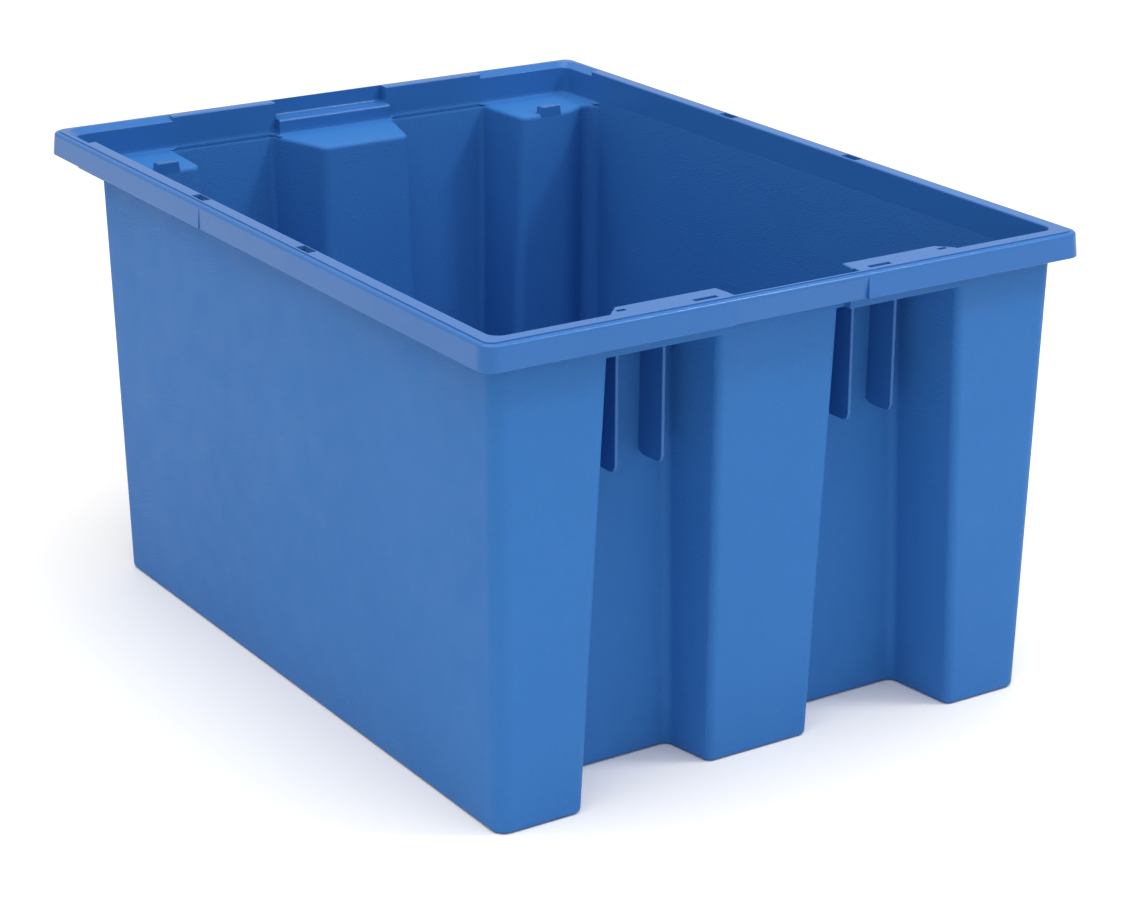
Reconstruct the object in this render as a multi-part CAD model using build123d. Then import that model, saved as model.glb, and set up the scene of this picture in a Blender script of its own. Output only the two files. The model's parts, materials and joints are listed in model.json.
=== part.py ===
from build123d import *
import math
import os

# Nesting and stacking storage tote, one injection moulding.
# +X is the near end with two outside recesses, -X the far end with three, +Z is up.
# The origin is the centre of the footprint, on the surface the tote stands on.

# ---- overall size (mm)
LENGTH = 597.0
WIDTH = 443.0
HEIGHT = 318.0
WALL = 1.6
FLOOR = 2.6
DRAFT = 5.8               # how far each wall leans in from the rim to the floor
OVERHANG = 11.0           # from the outside of the rim in to the outside of the wall

# ---- rim
SKIRT_HEIGHT = 17.0
SKIRT_FLARE = 1.3         # how far the skirt leans out from the rim to its foot
SKIRT_WALL = 2.0
SKIRT_ROUND = 0.7
FLANGE = 2.5
RIM_CORNER = 10.0
RIM_EDGE = 2.4
RIM_BORDER = 3.5          # a border this wide runs lower around the flange
RIM_BORDER_DROP = 0.7
MIDDLE_SETBACK = 2.6      # the middle of the near skirt is set back this far at its foot
MIDDLE_HALF = 50.0

# ---- levels
LEDGE_DROP = 24.0         # stacking ledges below the rim
SHELF_DROP = 12.0         # middle shelves below the rim
SHELF_HALF = 47.0
SHELF_BACK = 5.0          # from the outside of the rim in to the back of a middle shelf
SHELF_FRONT = 19.0        # and to its front edge

# ---- rounding
BODY_CORNER = 10.0
COLUMN_EDGE = 6.0
RECESS_CORNER = 6.0
SIDE_END_EDGE = 10.5
PILASTER_SWEEP = 28.0
BASE_ROUND = 3.0
LEDGE_ROUND = 3.0
LEDGE_ROOT = 2.5
SHELF_ROUND = 2.0
LIP_ROUND = 1.0
ROUND_STEPS = 4           # flat strips that make up a rounded ledge edge

# ---- near end, outside, each as (at the floor, at the rim)
MIDDLE_COLUMN_X = (266.5, 278.0)
MIDDLE_COLUMN_Y = (39.0, 45.5)
NEAR_PANEL_X = (228.8, 234.6)
NEAR_PANEL_IN_Y = (45.0, 55.5)
NEAR_PANEL_OUT_Y = (138.5, 121.0)
CORNER_COLUMN_Y = (144.0, 130.0)

# ---- far end, outside, each as (at the floor, at the rim)
FAR_COLUMN_X = (269.0, 288.2)
FAR_COLUMN_OUT_Y = (121.5, 135.0)
FAR_COLUMN_IN_Y = (55.0, 49.5)
FAR_PANEL_X = (227.6, 233.4)
FAR_PANEL_OUT_Y = (124.5, 138.5)
FAR_PANEL_IN_Y = (39.5, 33.5)
SWEEP_START_Y = (176.0, 178.0)
SIDE_END_X = (246.2, 252.0)

# ---- nest-stop ribs, rim tabs, lugs, slots and lead-ins
RIB_FRONT_X = 257.5
RIB_BOTTOM_Z = 205.8
RIB_THICKNESS = 2.4
RIB_ROUND = 0.7
RIB_Y = (71.5, 105.5)
TAB_REACH = 11.0
TAB_Y = (46.0, 129.0)
TAB_CHAMFER = 9.5
TAB_SLOT = (4.0, 17.0)
TAB_SLOT_Y = 65.0
TAB_HOLE = (3.2, 6.5)
TAB_HOLE_Y = 120.0
TAB_SLOT_X = 289.5
TAB_HOLE_X = 282.4
LUG_HEIGHT = 6.0
LUG_Y = (152.5, 170.5)
LUG_DEPTH = 8.0
LUG_LEAN = 1.0
SIDE_SLOT = (16.0, 6.5)
SIDE_SLOT_X = 72.5
SIDE_SLOT_INSET = 8.0
SIDE_SETBACK = 0.7        # the long skirts are set back this far along their middles
SIDE_SETBACK_HALF = 60.0
LEAD_IN_WIDTH = 6.5
LEAD_IN_DEPTH = 3.4
LEAD_IN_START_Y = 131.0
LEAD_IN_SIDE_X = 247.0
LEAD_IN_SEAT = 7.0        # the rim is solid this far down beside a lead-in

# ---- where the moulding is divided into named zones
BASE_TOP_Z = 7.0
LEDGE_CUT_Z = 288.0
RIM_CUT_Z = 298.0
NEAR_CUT_X = 222.0
FAR_CUT_X = -222.0
NEAR_CUT_Y = (52.0, 128.0)
FAR_CUT_Y = (52.5, 112.0)

HALF_L = LENGTH / 2
HALF_W = WIDTH / 2
LEDGE_Z = HEIGHT - LEDGE_DROP
CEILING_Z = LEDGE_Z - WALL
ROUND_FOOT_Z = LEDGE_Z - LEDGE_ROUND
SHELF_Z = HEIGHT - SHELF_DROP
SKIRT_Z = HEIGHT - SKIRT_HEIGHT


def between(pair, z):
    """Value at height z of a size that changes evenly from the floor to the rim."""
    low, high = pair
    return low + (high - low) * z / HEIGHT


def wall_x(z):
    return HALF_L - OVERHANG - DRAFT * (1 - z / HEIGHT)


def wall_y(z):
    return HALF_W - OVERHANG - DRAFT * (1 - z / HEIGHT)


def inset(points, amount):
    """Move every side of a counter-clockwise outline inwards; each point is (x, y, radius)."""
    moved = []
    count = len(points)
    for i in range(count):
        before = Vector(*points[i - 1][:2])
        here = Vector(*points[i][:2])
        after = Vector(*points[(i + 1) % count][:2])
        a = (here - before).normalized()
        b = (after - here).normalized()
        turn = a.X * b.Y - a.Y * b.X
        cosine = a.X * b.X + a.Y * b.Y
        normal_a = Vector(-a.Y, a.X)
        normal_b = Vector(-b.Y, b.X)
        corner = here + (normal_a + normal_b) * (amount / (1 + cosine))
        radius = points[i][2] - math.copysign(amount, turn)
        moved.append((corner.X, corner.Y, radius))
    return moved


def face_at(points, z):
    """A flat face at height z with every corner of the outline rounded."""
    path = FilletPolyline(
        *[(x, y) for x, y, _ in points],
        radius=[r for _, _, r in points],
        close=True,
    )
    return Pos(0, 0, z) * make_face(path)


def mirrored(half):
    """Reflect a run of outline points across the long axis, reversed to keep the direction."""
    return [(x, -y, r) for x, y, r in reversed(half)]


def body_outline(z):
    """Outside of the tote below the ledges, with both ends' columns and recesses."""
    near = [
        (between(MIDDLE_COLUMN_X, z), between(MIDDLE_COLUMN_Y, z), COLUMN_EDGE),
        (between(NEAR_PANEL_X, z), between(NEAR_PANEL_IN_Y, z), RECESS_CORNER),
        (between(NEAR_PANEL_X, z), between(NEAR_PANEL_OUT_Y, z), RECESS_CORNER),
        (wall_x(z), between(CORNER_COLUMN_Y, z), COLUMN_EDGE),
        (wall_x(z), wall_y(z), BODY_CORNER),
    ]
    far = [
        (-between(SIDE_END_X, z), wall_y(z), SIDE_END_EDGE),
        (-between(FAR_PANEL_X, z), between(SWEEP_START_Y, z), PILASTER_SWEEP),
        (-between(FAR_PANEL_X, z), between(FAR_PANEL_OUT_Y, z), RECESS_CORNER),
        (-between(FAR_COLUMN_X, z), between(FAR_COLUMN_OUT_Y, z), COLUMN_EDGE),
        (-between(FAR_COLUMN_X, z), between(FAR_COLUMN_IN_Y, z), COLUMN_EDGE),
        (-between(FAR_PANEL_X, z), between(FAR_PANEL_IN_Y, z), RECESS_CORNER),
    ]
    return mirrored(near) + near + far + mirrored(far)


def band_outline(z, margin=0.0):
    """Outside of the plain band between the ledges and the rim; margin moves it inwards."""
    x = wall_x(z) - margin
    y = wall_y(z) - margin
    corner = BODY_CORNER - margin
    return [(x, -y, corner), (x, y, corner), (-x, y, corner), (-x, -y, corner)]


def slab(outline, low, high, **options):
    """Solid between an outline at two heights."""
    faces = [face_at(outline(z, **options), z) for z in (low, high)]
    return loft(faces, ruled=True)


def cavity_outline(z):
    return inset(body_outline(z), WALL)


def block(x_range, y_range, z_range):
    """Box between two corners."""
    centre = [(a + b) / 2 for a, b in (x_range, y_range, z_range)]
    size = [b - a for a, b in (x_range, y_range, z_range)]
    return Pos(*centre) * Box(*size)


def both_ends(solid):
    return solid + Rot(0, 0, 180) * solid


def level_edges(solid, z):
    """Edges that lie wholly at height z."""
    return [e for e in solid.edges() if abs(e.bounding_box().min.Z - z) < 1e-4
            and abs(e.bounding_box().max.Z - z) < 1e-4]


def prism(profile, half_width):
    """Extrude an outline in the XZ plane equally to both sides of Y = 0."""
    face = make_face(Polyline(*[(x, 0, z) for x, z in profile], close=True))
    return extrude(face, amount=half_width, dir=(0, 1, 0), both=True)


def outer_band():
    """Plain block above the recesses, stepped in at the middle of both ends."""
    band = slab(band_outline, CEILING_Z, HEIGHT)
    half = MIDDLE_COLUMN_Y[1]
    step = block((HALF_L - SHELF_FRONT + WALL, HALF_L), (-half, half), (CEILING_Z, SHELF_Z - WALL))
    return band - both_ends(step)


def make_body():
    """Solid block of the whole tote, without its rim."""
    lower = slab(body_outline, 0, CEILING_Z)
    lower = fillet(level_edges(lower, 0), BASE_ROUND)
    return lower + outer_band()


def rounded_ledge_edges(limits):
    """Strips of hollow that round the top edges of the inner pilasters, kept inside limits."""
    hollow = []
    for i in range(ROUND_STEPS):
        ends = []
        for k in (i, i + 1):
            angle = math.pi / 2 * k / ROUND_STEPS
            z = ROUND_FOOT_Z + LEDGE_ROUND * math.sin(angle)
            grow = LEDGE_ROUND * (1 - math.cos(angle))
            ends.append(face_at(inset(body_outline(z), WALL - grow), z))
        hollow.append(loft(ends, ruled=True) & limits)
    return hollow


def make_cavity():
    """Everything inside the walls, up through the rim."""
    lower = slab(cavity_outline, FLOOR, ROUND_FOOT_Z)
    lower = fillet(level_edges(lower, FLOOR), BASE_ROUND - WALL)
    collar = slab(cavity_outline, ROUND_FOOT_Z, LEDGE_Z + LEDGE_ROOT)
    band = slab(band_outline, LEDGE_Z, HEIGHT + 1, margin=WALL)
    front = HALF_L - SHELF_FRONT
    side = (-SHELF_HALF, SHELF_HALF)
    step = block((front, HALF_L), side, (ROUND_FOOT_Z - 1, SHELF_Z))
    step = fillet([e for e in level_edges(step, SHELF_Z) if e.center().X < front + 1], SHELF_ROUND)
    steps = both_ends(step)
    limits = slab(band_outline, ROUND_FOOT_Z - 1, LEDGE_Z, margin=WALL) - steps
    band = band - steps
    band = fillet(level_edges(band, LEDGE_Z), LEDGE_ROOT)
    well = block((front, HALF_L - SHELF_BACK), side, (SHELF_Z, HEIGHT + 1))
    well = fillet([e for e in level_edges(well, SHELF_Z) if e.center().X > front + 1], SHELF_ROUND)
    cavity = lower + collar + band + both_ends(well)
    for strip in rounded_ledge_edges(limits):
        cavity = cavity + strip
    return cavity


def rim_slab(margin, low, high):
    """Rounded slab the size of the rim; the skirt leans outwards towards its foot."""
    def outline(z):
        lean = SKIRT_FLARE * (HEIGHT - z) / SKIRT_HEIGHT
        x = HALF_L + lean - margin
        y = HALF_W + lean - margin
        r = RIM_CORNER - margin
        return [(x, -y, r), (x, y, r), (-x, y, r), (-x, -y, r)]
    return slab(outline, low, high)


def skirt_sliver(outside, half_width, setback):
    """Thin wedge cut from the outside of the skirt on the +X side, deepest at its foot."""
    top = HEIGHT - RIM_BORDER_DROP - RIM_EDGE
    foot = outside + SKIRT_FLARE - setback
    profile = [(foot, SKIRT_Z - 1), (outside + 5, SKIRT_Z - 1), (outside + 5, top), (outside + 0.1, top)]
    return prism(profile, half_width)


def skirt_slivers():
    """The set-back middles of the near skirt and of both long skirts."""
    near = skirt_sliver(HALF_L, MIDDLE_HALF, MIDDLE_SETBACK)
    side = skirt_sliver(HALF_W, SIDE_SETBACK_HALF, SIDE_SETBACK)
    return [near, Rot(0, 0, 90) * side, Rot(0, 0, -90) * side]


def rim_pocket():
    """Open space under the flange, between the wall and the skirt."""
    pocket = rim_slab(SKIRT_WALL, SKIRT_Z - 1, HEIGHT - FLANGE) - outer_band()
    half = SHELF_HALF + WALL
    shelf = block((HALF_L - SHELF_FRONT, HALF_L), (-half, half), (SHELF_Z - WALL, HEIGHT))
    pocket = pocket - both_ends(shelf)
    lip = MIDDLE_HALF + SKIRT_WALL
    backing = block((HALF_L - SKIRT_WALL - MIDDLE_SETBACK, HALF_L + 5), (-lip, lip), (SKIRT_Z - 2, HEIGHT))
    pocket = pocket - backing
    seat_x = (-HALF_L, -LEAD_IN_SIDE_X + WALL)
    for seat_y in ((-HALF_W, -LEAD_IN_START_Y + WALL), (LEAD_IN_START_Y - WALL, HALF_W)):
        pocket = pocket - block(seat_x, seat_y, (HEIGHT - LEAD_IN_SEAT, HEIGHT))
    return pocket


def lead_ins():
    """Sloping cuts at the rim opening's two far corners, which guide the feet of a bin above."""
    top = HEIGHT + 0.5
    foot = HEIGHT - LEAD_IN_DEPTH
    faces = []
    for z in (foot - 0.5, top):
        grow = (z - foot) * LEAD_IN_WIDTH / LEAD_IN_DEPTH
        faces.append(face_at(band_outline(z, margin=WALL - grow), z))
    funnel = loft(faces, ruled=True)
    cut_x = (-HALF_L, -LEAD_IN_SIDE_X)
    cut_z = (foot - 1, top + 1)
    return [funnel & block(cut_x, cut_y, cut_z)
            for cut_y in ((-HALF_W, -LEAD_IN_START_Y), (LEAD_IN_START_Y, HALF_W))]


def slots():
    """Through-slots in the flange: two on each long side and one beside each near tab."""
    cuts = []
    for sign in (-1, 1):
        for x in (-SIDE_SLOT_X, SIDE_SLOT_X):
            y = sign * (HALF_W - SIDE_SLOT_INSET)
            cuts.append(Pos(x, y, HEIGHT) * Box(*SIDE_SLOT, 4 * FLANGE))
        cuts.append(Pos(TAB_SLOT_X, sign * TAB_SLOT_Y, HEIGHT) * Box(*TAB_SLOT, 4 * FLANGE))
    return cuts


def soften_lip(shell):
    """Round the inner edge of the flange, except along the near end, where the tabs join it."""
    inside_x = HALF_L - OVERHANG - WALL + 1
    inside_y = HALF_W - OVERHANG - WALL + 1
    lip = [e for e in level_edges(shell, HEIGHT)
           if -inside_x < e.center().X < inside_x - 12 and abs(e.center().Y) < inside_y]
    shell = fillet(lip, LIP_ROUND)
    return fillet(level_edges(shell, HEIGHT - LEAD_IN_DEPTH), LIP_ROUND)


def make_shell(body, cavity):
    """The whole moulding except for its ribs, rim tabs and lugs."""
    rim = rim_slab(0, SKIRT_Z, HEIGHT - RIM_BORDER_DROP)
    rim = fillet(level_edges(rim, HEIGHT - RIM_BORDER_DROP), RIM_EDGE)
    rim = fillet(level_edges(rim, SKIRT_Z), SKIRT_ROUND)
    flange = rim_slab(RIM_BORDER, HEIGHT - 2 * RIM_BORDER_DROP, HEIGHT)
    shell = body + rim + flange - cavity - rim_pocket()
    for cut in skirt_slivers() + lead_ins() + slots():
        shell = shell - cut
    return soften_lip(shell)


def stop_rib(y, body):
    """Upright rib in a near recess; its foot meets the near ledge of a bin nested below."""
    inner = NEAR_PANEL_X[0]
    profile = [
        (inner, CEILING_Z),
        (inner, RIB_BOTTOM_Z + 4.5),
        (inner + 9, RIB_BOTTOM_Z),
        (RIB_FRONT_X - 5, RIB_BOTTOM_Z),
        (RIB_FRONT_X - 1.5, RIB_BOTTOM_Z + 1.5),
        (RIB_FRONT_X, RIB_BOTTOM_Z + 5),
        (RIB_FRONT_X, CEILING_Z),
    ]
    rib = prism(profile, RIB_THICKNESS / 2)
    front = [e for e in rib.edges() if e.center().X > inner + 6 and e.center().Z < CEILING_Z - 1
             and abs(e.center().Y) > 0.1]
    rib = fillet(front, RIB_ROUND)
    return Pos(0, y, 0) * rib - body


def rim_tab(shell):
    """Flat tab that widens the near flange inwards over one ledge, with a small drain hole."""
    start, end = TAB_Y
    root = HALF_L - OVERHANG
    tip = root - WALL - TAB_REACH
    outline = [
        (root, start),
        (tip, start + 1.5),
        (tip, end - TAB_CHAMFER),
        (tip + TAB_CHAMFER, end),
        (root, end),
    ]
    face = make_face(Polyline(*[(x, y, HEIGHT) for x, y in outline], close=True))
    plate = extrude(face, amount=FLANGE, dir=(0, 0, -1))
    plate = fillet([e for e in level_edges(plate, HEIGHT) if e.center().X < root - 1], LIP_ROUND)
    hole = Pos(TAB_HOLE_X, TAB_HOLE_Y, HEIGHT) * Box(*TAB_HOLE, 4 * FLANGE)
    return plate - hole - shell


def locking_lug(body, shell):
    """Upstand at the front of a far corner ledge, flush with the pilaster below it."""
    front = WALL - between(FAR_PANEL_X, LEDGE_Z)
    ends = []
    for z, lean in ((ROUND_FOOT_Z, 0), (LEDGE_Z + LUG_HEIGHT, LUG_LEAN)):
        x = (front - LUG_DEPTH + lean, front)
        y = (LUG_Y[0] + lean, LUG_Y[1] - lean)
        corners = [(x[0], y[0]), (x[1], y[0]), (x[1], y[1]), (x[0], y[1])]
        ends.append(make_face(Polyline(*[(a, b, z) for a, b in corners], close=True)))
    lug = loft(ends, ruled=True)
    lug = fillet(level_edges(lug, LEDGE_Z + LUG_HEIGHT), LIP_ROUND)
    return (lug & body) - shell


def middle_zones():
    """Limits of the zones that lie across the long axis, by node name."""
    near = (NEAR_CUT_X, HALF_L + 5)
    far = (-HALF_L - 5, FAR_CUT_X)
    near_y = (-NEAR_CUT_Y[0], NEAR_CUT_Y[0])
    far_y = (-FAR_CUT_Y[0], FAR_CUT_Y[0])
    rim = (RIM_CUT_Z, HEIGHT + 1)
    return {
        "floor_panel": ((-HALF_L, HALF_L), (-HALF_W, HALF_W), (-1, BASE_TOP_Z)),
        "near_middle_column": (near, near_y, (BASE_TOP_Z, RIM_CUT_Z)),
        "near_middle_shelf": (near, near_y, rim),
        "far_middle_pilaster": (far, far_y, (BASE_TOP_Z, LEDGE_CUT_Z)),
        "far_middle_ledge": (far, far_y, (LEDGE_CUT_Z, RIM_CUT_Z)),
        "far_middle_shelf": (far, far_y, rim),
    }


def right_zones():
    """Limits of the zones on the right of the long axis; {} in a name stands for the side."""
    side = HALF_W + 5
    near = (NEAR_CUT_X, HALF_L + 5)
    far = (-HALF_L - 5, FAR_CUT_X)
    middle = (FAR_CUT_X, NEAR_CUT_X)
    near_in, near_out = NEAR_CUT_Y
    far_in, far_out = FAR_CUT_Y
    column = (BASE_TOP_Z, RIM_CUT_Z)
    panel = (BASE_TOP_Z, LEDGE_CUT_Z)
    ledge = (LEDGE_CUT_Z, RIM_CUT_Z)
    rim = (RIM_CUT_Z, HEIGHT + 1)
    return {
        "near_{}_column": (near, (near_out, side), column),
        "near_{}_recess_panel": (near, (near_in, near_out), panel),
        "near_{}_ledge": (near, (near_in, near_out), ledge),
        "near_{}_rim": (near, (near_in, side), rim),
        "far_{}_corner_post": (far, (far_out, side), panel),
        "far_{}_corner_ledge": (far, (far_out, side), ledge),
        "far_{}_column": (far, (far_in, far_out), column),
        "far_{}_rim": (far, (far_in, side), rim),
        "{}_side_wall": (middle, (0, side), column),
        "{}_side_rim": (middle, (0, side), rim),
    }


def build():
    """Every zone and added feature of the moulding, by node name."""
    body = make_body()
    shell = make_shell(body, make_cavity())
    nodes = {name: shell & block(*limits) for name, limits in middle_zones().items()}
    right = {name: shell & block(*limits) for name, limits in right_zones().items()}
    right["near_{}_inner_stop_rib"] = stop_rib(RIB_Y[0], body)
    right["near_{}_outer_stop_rib"] = stop_rib(RIB_Y[1], body)
    right["near_{}_rim_tab"] = rim_tab(shell)
    right["far_{}_locking_lug"] = locking_lug(body, shell)
    for name, solid in right.items():
        nodes[name.format("right")] = solid
        nodes[name.format("left")] = mirror(solid, about=Plane.XZ)
    return nodes


os.makedirs("parts", exist_ok=True)
for node_name, node in build().items():
    export_step(node, "parts/" + node_name + ".step")
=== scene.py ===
import json
import math

import bpy
from mathutils import Matrix, Vector


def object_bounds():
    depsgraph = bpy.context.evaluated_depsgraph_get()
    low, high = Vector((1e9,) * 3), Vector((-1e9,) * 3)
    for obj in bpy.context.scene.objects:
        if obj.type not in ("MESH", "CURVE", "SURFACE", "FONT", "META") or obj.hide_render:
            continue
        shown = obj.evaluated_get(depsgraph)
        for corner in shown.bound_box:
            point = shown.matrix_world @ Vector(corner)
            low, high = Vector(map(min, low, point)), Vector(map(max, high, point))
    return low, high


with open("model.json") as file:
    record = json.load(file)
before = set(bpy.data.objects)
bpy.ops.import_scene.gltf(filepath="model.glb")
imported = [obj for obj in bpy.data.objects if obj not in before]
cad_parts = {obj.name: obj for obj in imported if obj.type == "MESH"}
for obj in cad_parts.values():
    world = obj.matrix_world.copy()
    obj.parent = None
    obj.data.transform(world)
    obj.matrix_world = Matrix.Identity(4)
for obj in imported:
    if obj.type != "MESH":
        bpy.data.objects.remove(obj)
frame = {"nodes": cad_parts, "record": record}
CAD_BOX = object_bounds()

# ---- colours, in linear light
BODY_BLUE = (0.031, 0.160, 0.470)
BODY_BLUE_WORN = (0.034, 0.167, 0.485)
# The rim blues are the body blues darkened: painted shade that tones down the extra light the rim
# catches; the lugs and ribs wear them too.
RIM_PAINTED_SHADE_BLUE = (0.027, 0.136, 0.415)
RIM_PAINTED_SHADE_BLUE_WORN = (0.030, 0.144, 0.432)
FLOOR_WHITE = (0.93, 0.93, 0.93)
SURROUNDINGS = (1.0, 0.962, 0.89)

# ---- finish: roughness of the smoothest and the roughest patch, and bump distance in metres
BODY_ROUGHNESS = (0.42, 0.52)
BODY_IOR = 1.22
BODY_GRAIN_DEPTH = 0.0014
RIM_ROUGHNESS = (0.16, 0.24)
RIM_IOR = 1.34
RIM_GRAIN_DEPTH = 0.00015
FLOOR_ROUGHNESS = 0.9
FLOOR_SPECULAR = 0.1

# ---- noise: cells per metre, and the span of its values that each colour ramp covers
MOTTLE_SCALE = 9.0
MOTTLE_SPAN = (0.35, 0.72)
PATCH_SCALE = 45.0
PATCH_SPAN = (0.3, 0.7)
GRAIN_SCALE = 1300.0
GRAIN_STRENGTH = 0.5
RIPPLE_SCALE = 12.0
RIPPLE_STRENGTH = 0.15
RIPPLE_DEPTH = 0.004

# ---- camera, in metres and degrees
CAMERA_PLACE = (1.6396, -1.0386, 0.8274)
CAMERA_AZIMUTH = 56.90
CAMERA_ELEVATION = 20.15
CAMERA_ROLL = 0.18
CAMERA_REACH = 50.0
LENS_MM = 93.25
SENSOR_MM = 36.0

# ---- floor, in metres
FLOOR_SIZE = 14.0
FLOOR_GAP = 0.0002

# ---- light: strength of the surroundings, and the point that the soft boxes aim at, in metres
WORLD_STRENGTH = 0.62
LIGHT_AIM = (0, 0, 0.15)


def noise(tree, scale, detail):
    """Noise over the object's own coordinates, so it stays put on the moulding."""
    coords = tree.nodes.new("ShaderNodeTexCoord")
    texture = tree.nodes.new("ShaderNodeTexNoise")
    texture.inputs["Scale"].default_value = scale
    texture.inputs["Detail"].default_value = detail
    tree.links.new(coords.outputs["Object"], texture.inputs["Vector"])
    return texture.outputs["Fac"]


def ramp(tree, factor, span, low, high):
    """Colour that runs from low to high over a span of the factor."""
    node = tree.nodes.new("ShaderNodeValToRGB")
    for element, position, colour in zip(node.color_ramp.elements, span, (low, high)):
        element.position = position
        element.color = (*colour, 1.0)
    tree.links.new(factor, node.inputs["Fac"])
    return node.outputs["Color"]


def bump(tree, height, strength, depth, before=None):
    """Normal raised by a height, on top of the normal before it where there is one."""
    node = tree.nodes.new("ShaderNodeBump")
    node.inputs["Strength"].default_value = strength
    node.inputs["Distance"].default_value = depth
    tree.links.new(height, node.inputs["Height"])
    if before is not None:
        tree.links.new(before, node.inputs["Normal"])
    return node.outputs["Normal"]


def moulded_plastic(name, fresh, worn, roughness, ior, grain_depth):
    """Pigmented polyethylene with the fine spark-eroded grain of its mould."""
    material = bpy.data.materials.new(name)
    material.use_nodes = True
    tree = material.node_tree
    shader = tree.nodes["Principled BSDF"]
    shader.inputs["IOR"].default_value = ior
    mottle = noise(tree, MOTTLE_SCALE, detail=3.0)
    colour = ramp(tree, mottle, MOTTLE_SPAN, fresh, worn)
    tree.links.new(colour, shader.inputs["Base Color"])
    patch = noise(tree, PATCH_SCALE, detail=4.0)
    smoothest, roughest = roughness
    rough = ramp(tree, patch, PATCH_SPAN, (smoothest,) * 3, (roughest,) * 3)
    tree.links.new(rough, shader.inputs["Roughness"])
    grain = noise(tree, GRAIN_SCALE, detail=2.0)
    ripple = noise(tree, RIPPLE_SCALE, detail=1.0)
    normal = bump(tree, grain, GRAIN_STRENGTH, grain_depth)
    normal = bump(tree, ripple, RIPPLE_STRENGTH, RIPPLE_DEPTH, before=normal)
    tree.links.new(normal, shader.inputs["Normal"])
    return material


def dress_nodes():
    """Smoother plastic, darkened with painted shade, on the nodes of the rim slot and on lugs and
    ribs; body plastic elsewhere.
    """
    body = moulded_plastic("body_plastic", BODY_BLUE, BODY_BLUE_WORN,
                           BODY_ROUGHNESS, BODY_IOR, BODY_GRAIN_DEPTH)
    rim = moulded_plastic("rim_plastic", RIM_PAINTED_SHADE_BLUE, RIM_PAINTED_SHADE_BLUE_WORN,
                          RIM_ROUGHNESS, RIM_IOR, RIM_GRAIN_DEPTH)
    slots = {part["node"]: part["material_slot"] for part in frame["record"]["subparts"]}
    for node, piece in frame["nodes"].items():
        smooth = slots[node] == "rim_plastic" or node.endswith(("_lug", "_rib"))
        piece.data.materials.clear()
        piece.data.materials.append(rim if smooth else body)


def add_floor():
    """Pale matte floor, just under the bin."""
    bpy.ops.mesh.primitive_plane_add(size=FLOOR_SIZE, location=(0, 0, CAD_BOX[0][2] - FLOOR_GAP))
    floor = bpy.context.object
    floor.name = "floor"
    material = bpy.data.materials.new("floor")
    material.use_nodes = True
    shader = material.node_tree.nodes["Principled BSDF"]
    shader.inputs["Base Color"].default_value = (*FLOOR_WHITE, 1.0)
    shader.inputs["Roughness"].default_value = FLOOR_ROUGHNESS
    shader.inputs["Specular IOR Level"].default_value = FLOOR_SPECULAR
    floor.data.materials.append(material)


def direction(azimuth, elevation):
    """Unit vector at an azimuth, 0 along -Y and 90 along +X, and an elevation, in degrees."""
    a = math.radians(azimuth)
    e = math.radians(elevation)
    return Vector((math.sin(a) * math.cos(e), -math.cos(a) * math.cos(e), math.sin(e)))


def soft_box(name, azimuth, elevation, distance, size, power):
    """Rectangular area light aimed at the bin; distance and size in metres, power in watts."""
    towards = direction(azimuth, elevation)
    data = bpy.data.lights.new(name, "AREA")
    data.shape = "RECTANGLE"
    data.size = size[0]
    data.size_y = size[1]
    data.energy = power
    lamp = bpy.data.objects.new(name, data)
    lamp.location = Vector(LIGHT_AIM) + towards * distance
    lamp.rotation_euler = towards.to_track_quat("Z", "Y").to_euler()
    bpy.context.collection.objects.link(lamp)


def add_lights():
    """Warm surroundings, a wide box overhead, weak side boxes and a small strip for the edges."""
    world = bpy.data.worlds.new("studio")
    bpy.context.scene.world = world
    world.use_nodes = True
    background = world.node_tree.nodes["Background"]
    background.inputs["Color"].default_value = (*SURROUNDINGS, 1.0)
    background.inputs["Strength"].default_value = WORLD_STRENGTH
    soft_box("left_box", azimuth=-58, elevation=26, distance=2.6, size=(2.0, 1.4), power=1)
    soft_box("right_box", azimuth=120, elevation=36, distance=2.6, size=(2.0, 1.4), power=5)
    soft_box("edge_strip", azimuth=138, elevation=47, distance=2.4, size=(0.45, 0.14), power=14)
    soft_box("overhead_box", azimuth=20, elevation=80, distance=4.2, size=(5.0, 5.0), power=190)


def add_camera():
    """Camera that looks back along its azimuth and elevation, with a slight roll."""
    data = bpy.data.cameras.new("camera")
    data.lens = LENS_MM
    data.sensor_width = SENSOR_MM
    data.clip_end = CAMERA_REACH
    camera = bpy.data.objects.new("camera", data)
    back = direction(CAMERA_AZIMUTH, CAMERA_ELEVATION)
    turn = back.to_track_quat("Z", "Y").to_matrix().to_4x4()
    roll = Matrix.Rotation(math.radians(CAMERA_ROLL), 4, "Z")
    camera.matrix_world = Matrix.Translation(CAMERA_PLACE) @ turn @ roll
    bpy.context.collection.objects.link(camera)
    bpy.context.scene.camera = camera


dress_nodes()
add_floor()
add_lights()
add_camera()
bpy.context.scene.view_settings.view_transform = "Standard"
